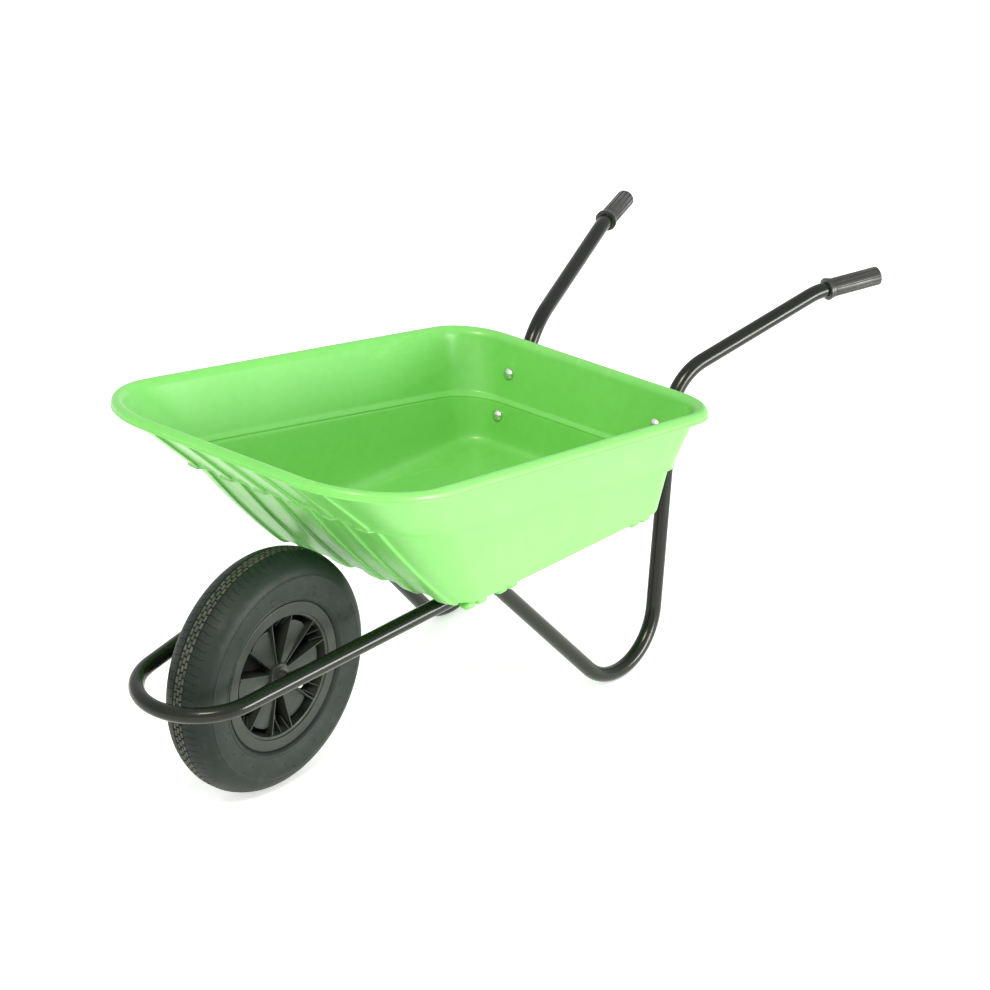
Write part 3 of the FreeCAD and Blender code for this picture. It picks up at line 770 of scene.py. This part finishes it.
# %% [markdown]
# ## The grips
#
# Each handle ends in a black sleeve with flutes along it, so that it doesn't turn in the hand,
# and a flange that stops the hand. The sleeve is a cylinder. Two of every four faces of its side
# are inset and pushed in, which makes a flute with closed ends. The place and the direction come
# from the CAD grip: its points run along the handle.

# %% Model one grip along +Z
FLUTES = 14
FLUTE_DEEP = 0.0012
GRIP_LONG = 0.097
GRIP_START = 0.006          # the sleeve starts inside the flanges
GRIP_R = 0.0150


def flange(radius, low, high):
    start_clean()
    bpy.ops.mesh.primitive_cylinder_add(vertices=64, radius=radius, depth=high - low,
                                        location=(0, 0, (low + high) / 2))
    piece = take("flange")
    apply_modifier(piece, "BEVEL", width=0.0009, segments=3, limit_method="ANGLE")
    return piece


def grip_sleeve():
    start_clean()
    bpy.ops.mesh.primitive_cylinder_add(vertices=4 * FLUTES, radius=GRIP_R,
                                        depth=GRIP_LONG - GRIP_START,
                                        location=(0, 0, (GRIP_LONG + GRIP_START) / 2))
    piece = take("sleeve")
    mesh = edit(piece, "FACE")
    side_faces = [face for face in mesh.faces if abs(face.normal.z) < 0.5]
    for face in side_faces:
        turn = math.atan2(face.normal.y, face.normal.x) / (2 * math.pi) * 4 * FLUTES
        face.select_set(int(math.floor(turn)) % 4 in (0, 1))
    bmesh.update_edit_mesh(piece.data)
    bpy.ops.mesh.inset(thickness=0.0007, depth=0.0)
    bpy.ops.mesh.extrude_region_shrink_fatten(TRANSFORM_OT_shrink_fatten={"value": -FLUTE_DEEP})
    leave(piece)
    apply_modifier(piece, "BEVEL", width=0.0004, segments=2, limit_method="ANGLE", angle_limit=0.5)
    return piece


sleeve = join([grip_sleeve(), flange(0.0178, 0.0, 0.0040), flange(0.0163, 0.0036, 0.0100)], "grip")
smooth(sleeve, 35)

# %% Lay a grip along each handle
def grip_axis(node):
    """The inner end of a grip and its direction, from the long axis of the CAD node's points."""
    points = np.array([vertex.co for vertex in nodes[node].data.vertices])
    middle = points.mean(axis=0)
    along = np.linalg.svd(points - middle)[2][0]
    if along[0] > 0:
        along = -along
    start = ((points - middle) @ along).min()
    return Vector(middle + along * start), Vector(along)


grips = []
for side in ("left", "right"):
    inner_end, heading = grip_axis("grip_" + side)
    place = Matrix.Translation(inner_end) @ heading.to_track_quat("Z", "Y").to_matrix().to_4x4()
    grips.append(copy_of(sleeve, "grip_" + side + "_sleeve", place))
    report(grips[-1])
bpy.data.objects.remove(sleeve)

# %% [markdown]
# ## Finishes
#
# A finish is a Principled shader whose colour, roughness and bump vary a little over the
# surface. All patterns are made of noise read at the object's own coordinates, in metres, so
# a scale of 100 means a grain of about a centimetre. Image textures would look as real but
# need files; noise needs none and never repeats. These small functions build the parts that
# all finishes share.

# %% Parts of a finish
def new_finish(name, **constants):
    """A Principled material; values that are the same all over go straight on its sockets."""
    finish = bpy.data.materials.new(name)
    finish.use_nodes = True
    shader = finish.node_tree.nodes["Principled BSDF"]
    for socket, value in constants.items():
        shader.inputs[socket.replace("_", " ")].default_value = value
    return finish, finish.node_tree, shader


def grain(tree, scale, detail=4.0, rough=0.55, stretch=(1, 1, 1)):
    """Noise at the object's coordinates. stretch below 1 makes the grain longer that way."""
    place = tree.nodes.new("ShaderNodeTexCoord")
    shape = tree.nodes.new("ShaderNodeMapping")
    shape.inputs["Scale"].default_value = stretch
    noise = tree.nodes.new("ShaderNodeTexNoise")
    noise.inputs["Scale"].default_value = scale
    noise.inputs["Detail"].default_value = detail
    noise.inputs["Roughness"].default_value = rough
    tree.links.new(place.outputs["Object"], shape.inputs["Vector"])
    tree.links.new(shape.outputs["Vector"], noise.inputs["Vector"])
    return noise.outputs["Fac"]


def ramp(tree, factor, stops):
    """Turns a factor into a colour, or into a grey value where the stops are plain numbers."""
    node = tree.nodes.new("ShaderNodeValToRGB")
    while len(node.color_ramp.elements) < len(stops):
        node.color_ramp.elements.new(0.5)
    for element, (position, value) in zip(node.color_ramp.elements, stops):
        element.position = position
        element.color = (value, value, value, 1) if isinstance(value, float) else (*value, 1)
    tree.links.new(factor, node.inputs["Fac"])
    return node.outputs["Color"]


def blend(tree, factor, first, second, kind="MIX"):
    """Mixes two colours by a factor; each may be an output or a fixed colour."""
    node = tree.nodes.new("ShaderNodeMix")
    node.data_type = "RGBA"
    node.blend_type = kind
    sockets = {s.identifier: s for s in node.inputs}
    for key, value in (("Factor_Float", factor), ("A_Color", first), ("B_Color", second)):
        if isinstance(value, bpy.types.NodeSocket):
            tree.links.new(value, sockets[key])
        elif key == "Factor_Float":
            sockets[key].default_value = value
        else:
            sockets[key].default_value = (*value, 1)
    return [s for s in node.outputs if s.identifier == "Result_Color"][0]


def emboss(tree, shader, heights):
    """Bump nodes in a row, each (height output, strength, distance in metres)."""
    last = None
    for height, strength, distance in heights:
        node = tree.nodes.new("ShaderNodeBump")
        node.inputs["Strength"].default_value = strength
        node.inputs["Distance"].default_value = distance
        tree.links.new(height, node.inputs["Height"])
        if last:
            tree.links.new(last, node.inputs["Normal"])
        last = node.outputs["Normal"]
    tree.links.new(last, shader.inputs["Normal"])


def connect(tree, shader, colour, roughness):
    tree.links.new(colour, shader.inputs["Base Color"])
    tree.links.new(roughness, shader.inputs["Roughness"])


# %% [markdown]
# ### Lime plastic of the tub
#
# Polypropylene is coloured all through, lets a little light in, and has a satin skin with a
# very fine orange-peel grain. The colour drifts slightly where the melt cooled at different
# speeds. A load leaves faint rubbed patches and thin scratches inside.

# %% Lime plastic
def lime_plastic():
    finish, tree, shader = new_finish(
        "lime_plastic", Subsurface_Weight=0.10, Subsurface_Scale=0.010,
        Subsurface_Radius=(0.5, 1.0, 0.3), Specular_IOR_Level=0.5,
        Coat_Weight=0.30, Coat_Roughness=0.22)
    drift = ramp(tree, grain(tree, 2.6, 3),
                 [(0.3, (0.125, 0.455, 0.080)), (0.7, (0.148, 0.500, 0.096))])
    fine = ramp(tree, grain(tree, 60, 5), [(0.3, 0.94), (0.7, 1.0)])
    scuffs = ramp(tree, grain(tree, 34, 8, 0.7, (0.25, 1.0, 1.0)), [(0.60, 0.0), (0.72, 0.10)])
    colour = blend(tree, 1.0, drift, fine, "MULTIPLY")
    colour = blend(tree, scuffs, colour, (0.45, 0.86, 0.30))
    rough = ramp(tree, grain(tree, 18, 6), [(0.3, 0.40), (0.7, 0.50)])
    connect(tree, shader, colour, rough)
    emboss(tree, shader, [(grain(tree, 9, 2), 0.10, 0.004), (grain(tree, 900, 2), 0.12, 0.0002)])
    return finish


# %% [markdown]
# ### Black paint of the tubes
#
# Powder paint on steel tube is glossy and slightly wavy. It is scuffed in small spots where
# the barrow knocks against things, and dust lies on it in patches.

# %% Black paint
def black_paint():
    finish, tree, shader = new_finish("black_paint", Coat_Weight=0.10, Coat_Roughness=0.08,
                                      Specular_IOR_Level=0.24)
    tone = ramp(tree, grain(tree, 7, 4),
                [(0.3, (0.003, 0.005, 0.003)), (0.7, (0.006, 0.008, 0.006))])
    chips = ramp(tree, grain(tree, 42, 6, 0.6), [(0.735, 0.0), (0.75, 1.0)])
    dust = ramp(tree, grain(tree, 11, 8, 0.7), [(0.56, 0.0), (0.85, 0.08)])
    colour = blend(tree, dust, tone, (0.08, 0.08, 0.07))
    colour = blend(tree, chips, colour, (0.10, 0.10, 0.095))
    rough = ramp(tree, grain(tree, 26, 6), [(0.3, 0.17), (0.75, 0.30)])
    connect(tree, shader, colour, rough)
    emboss(tree, shader, [(grain(tree, 140, 3), 0.06, 0.0006), (chips, 0.3, 0.0002)])
    return finish


# %% [markdown]
# ### Tyre rubber
#
# New rubber is a blue-grey black with a dull sheen. It has a fine pebble grain and paler
# smears of the mould's wax.

# %% Tyre rubber
def tyre_rubber():
    finish, tree, shader = new_finish("tyre_rubber", Specular_IOR_Level=0.22)
    tone = ramp(tree, grain(tree, 9, 5, 0.6),
                [(0.3, (0.004, 0.009, 0.008)), (0.72, (0.011, 0.018, 0.016))])
    bloom = ramp(tree, grain(tree, 30, 8, 0.7), [(0.55, 0.0), (0.85, 0.20)])
    colour = blend(tree, bloom, tone, (0.09, 0.10, 0.09))
    rough = ramp(tree, grain(tree, 22, 6), [(0.3, 0.46), (0.7, 0.62)])
    connect(tree, shader, colour, rough)
    emboss(tree, shader, [(grain(tree, 60, 4), 0.10, 0.0012), (grain(tree, 700, 3), 0.25, 0.0002)])
    return finish


def block_rubber():
    finish, tree, shader = new_finish("block_rubber", Specular_IOR_Level=0.35)
    tone = ramp(tree, grain(tree, 120, 4),
                [(0.3, (0.020, 0.026, 0.022)), (0.7, (0.075, 0.080, 0.066))])
    rough = ramp(tree, grain(tree, 60, 5), [(0.3, 0.55), (0.7, 0.72)])
    connect(tree, shader, tone, rough)
    emboss(tree, shader, [(grain(tree, 800, 3), 0.3, 0.0002)])
    return finish


# %% [markdown]
# ### Black plastic of the wheel and the grips
#
# The wheel halves are filled nylon with an even, spark-eroded matt texture and faint paler
# rubbed patches; painted shade darkens their pockets towards the wheel's middle plane.
# The grips are a softer, glossier plastic.

# %% Wheel and grip plastic
def painted_pocket_shade(tree):
    """Painted shade: white on a wheel half's outer faces, and dark towards the wheel's middle plane, where the
    pockets lie in shade.
    """
    place = tree.nodes.new("ShaderNodeTexCoord")
    split = tree.nodes.new("ShaderNodeSeparateXYZ")
    distance = tree.nodes.new("ShaderNodeMath")
    distance.operation = "ABSOLUTE"
    tree.links.new(place.outputs["Object"], split.inputs["Vector"])
    tree.links.new(split.outputs["Y"], distance.inputs[0])
    return ramp(tree, distance.outputs["Value"], [(0.010, 0.18), (0.021, 1.0)])


def wheel_plastic():
    finish, tree, shader = new_finish("wheel_plastic", Specular_IOR_Level=0.30)
    tone = ramp(tree, grain(tree, 14, 5),
                [(0.3, (0.010, 0.014, 0.012)), (0.7, (0.018, 0.023, 0.020))])
    rubbed = ramp(tree, grain(tree, 50, 8, 0.7), [(0.58, 0.0), (0.8, 0.12)])
    colour = blend(tree, rubbed, tone, (0.14, 0.145, 0.14))
    # painted shade: the colour is darkened in the pockets towards the wheel's middle plane
    colour = blend(tree, 1.0, colour, painted_pocket_shade(tree), "MULTIPLY")
    rough = ramp(tree, grain(tree, 35, 6), [(0.3, 0.42), (0.7, 0.55)])
    connect(tree, shader, colour, rough)
    emboss(tree, shader, [(grain(tree, 500, 3), 0.22, 0.0002)])
    return finish


def grip_plastic():
    finish, tree, shader = new_finish("grip_plastic", Specular_IOR_Level=0.5)
    tone = ramp(tree, grain(tree, 40, 5),
                [(0.3, (0.012, 0.013, 0.013)), (0.7, (0.022, 0.024, 0.023))])
    rough = ramp(tree, grain(tree, 60, 6), [(0.3, 0.30), (0.7, 0.44)])
    connect(tree, shader, tone, rough)
    emboss(tree, shader, [(grain(tree, 350, 3), 0.15, 0.0003)])
    return finish


# %% [markdown]
# ### Metal of the fasteners, and the small plastic pieces
#
# Zinc plate is bright with a faint blue and yellow stain. The axle is plain drawn steel. The
# bushes are dark nylon and the valve is soft black rubber with a plastic cap.

# %% Zinc, steel, nylon and rubber
def zinc_plate():
    finish, tree, shader = new_finish("zinc_plate", Metallic=1.0)
    tone = ramp(tree, grain(tree, 160, 4), [(0.3, (0.60, 0.64, 0.66)), (0.7, (0.74, 0.73, 0.66))])
    rough = ramp(tree, grain(tree, 300, 5), [(0.3, 0.20), (0.7, 0.36)])
    connect(tree, shader, tone, rough)
    emboss(tree, shader, [(grain(tree, 900, 3), 0.10, 0.0001)])
    return finish


def drawn_steel():
    finish, tree, shader = new_finish("drawn_steel", Metallic=1.0)
    tone = ramp(tree, grain(tree, 90, 4), [(0.3, (0.42, 0.42, 0.42)), (0.7, (0.56, 0.55, 0.53))])
    rough = ramp(tree, grain(tree, 260, 5, 0.6, (1, 0.05, 1)), [(0.3, 0.26), (0.7, 0.42)])
    connect(tree, shader, tone, rough)
    emboss(tree, shader, [(grain(tree, 600, 3, 0.6, (1, 0.05, 1)), 0.12, 0.0001)])
    return finish


def bush_nylon():
    finish, tree, shader = new_finish("bush_nylon")
    tone = ramp(tree, grain(tree, 80, 4),
                [(0.3, (0.018, 0.020, 0.019)), (0.7, (0.034, 0.036, 0.034))])
    rough = ramp(tree, grain(tree, 120, 5), [(0.3, 0.42), (0.7, 0.55)])
    connect(tree, shader, tone, rough)
    emboss(tree, shader, [(grain(tree, 500, 3), 0.15, 0.0001)])
    return finish


def soft_rubber():
    finish, tree, shader = new_finish("soft_rubber")
    tone = ramp(tree, grain(tree, 90, 4),
                [(0.3, (0.018, 0.019, 0.019)), (0.7, (0.032, 0.033, 0.032))])
    rough = ramp(tree, grain(tree, 150, 5), [(0.3, 0.50), (0.7, 0.66)])
    connect(tree, shader, tone, rough)
    emboss(tree, shader, [(grain(tree, 700, 3), 0.2, 0.0001)])
    return finish


# %% [markdown]
# ## Give every piece its finish and its body
#
# A finish is made once and shared. The CAD nodes that stay get the finish in place of their
# plain one. New pieces ride on the barrow or on the wheel, and say which CAD nodes they
# stand for.

# %% Paint
FINISHES = {
    "tub_plastic": lime_plastic(), "frame_paint": black_paint(), "zinc": zinc_plate(),
    "grip_plastic": grip_plastic(), "wheel_plastic": wheel_plastic(), "tyre_rubber": tyre_rubber(),
    "tube_rubber": soft_rubber(), "bush_plastic": bush_nylon(), "axle_steel": drawn_steel(),
    "valve_rubber": soft_rubber(), "cap_plastic": grip_plastic()}


def paint(piece, finish):
    piece.data.materials.clear()
    piece.data.materials.append(finish)


for subpart in frame["record"]["subparts"]:
    paint(nodes[subpart["node"]], FINISHES[subpart["material_slot"]])

new_pieces = [
    (tub, "barrow", "tub_plastic", ["tub"]), (tub_lugs, "barrow", "tub_plastic", []),
    (grips[0], "barrow", "grip_plastic", ["grip_left"]),
    (grips[1], "barrow", "grip_plastic", ["grip_right"]),
    (tyre, "wheel", "tyre_rubber", ["tyre"]), (tread, "wheel", "tyre_rubber", []),
    (tyre_pips, "wheel", "tyre_rubber", []),
    (wheel_left, "wheel", "wheel_plastic", ["wheel_half_left"]),
    (wheel_right, "wheel", "wheel_plastic", ["wheel_half_right"])]
for piece, body, slot, stands_for in new_pieces:
    paint(piece, FINISHES[slot])
    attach(piece, body)
    if stands_for:
        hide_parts(*stands_for)
paint(tread, block_rubber())

# %% [markdown]
# ## A plain studio
#
# The barrow stands on white paper in a white room. The world lights it from all sides, and the
# paper glows a little, so that only a faint shadow is left under the tyre and the feet. Two
# large soft lamps, one low beside the barrow and one high in front, give the walls their
# brightness and the rim and the tubes their long highlights.

# %% Floor, world and lamps
start_clean()
bpy.ops.mesh.primitive_plane_add(size=60)
floor = take("studio_floor")
paper, tree, shader = new_finish("studio_paper", Roughness=0.9, Emission_Strength=0.45)
shader.inputs["Base Color"].default_value = (0.90, 0.90, 0.90, 1)
shader.inputs["Emission Color"].default_value = (1.0, 1.0, 1.0, 1)
paint(floor, paper)

room = bpy.data.worlds.new("white_room")
room.use_nodes = True
room.node_tree.nodes["Background"].inputs["Color"].default_value = (1.0, 1.0, 1.0, 1)
room.node_tree.nodes["Background"].inputs["Strength"].default_value = 1.0
bpy.context.scene.world = room
bpy.context.scene.view_settings.view_transform = "Standard"


LAMP_AIM = Vector((0.0, 0.0, 0.3))


def lamp(name, place, size, power, colour):
    start_clean()
    aim = (LAMP_AIM - Vector(place)).to_track_quat("-Z", "Y").to_euler()
    bpy.ops.object.light_add(type="AREA", location=place, rotation=aim)
    light = bpy.context.object
    light.name = name
    light.data.shape = "RECTANGLE"
    light.data.size, light.data.size_y = size
    light.data.energy = power
    light.data.color = colour


lamp("key_lamp", (-1.5, 4.3, 0.55), (2.4, 1.0), 230, (1.0, 1.0, 0.94))
lamp("rim_lamp", (2.8, 1.8, 4.2), (1.4, 1.2), 200, (1.0, 0.94, 0.66))
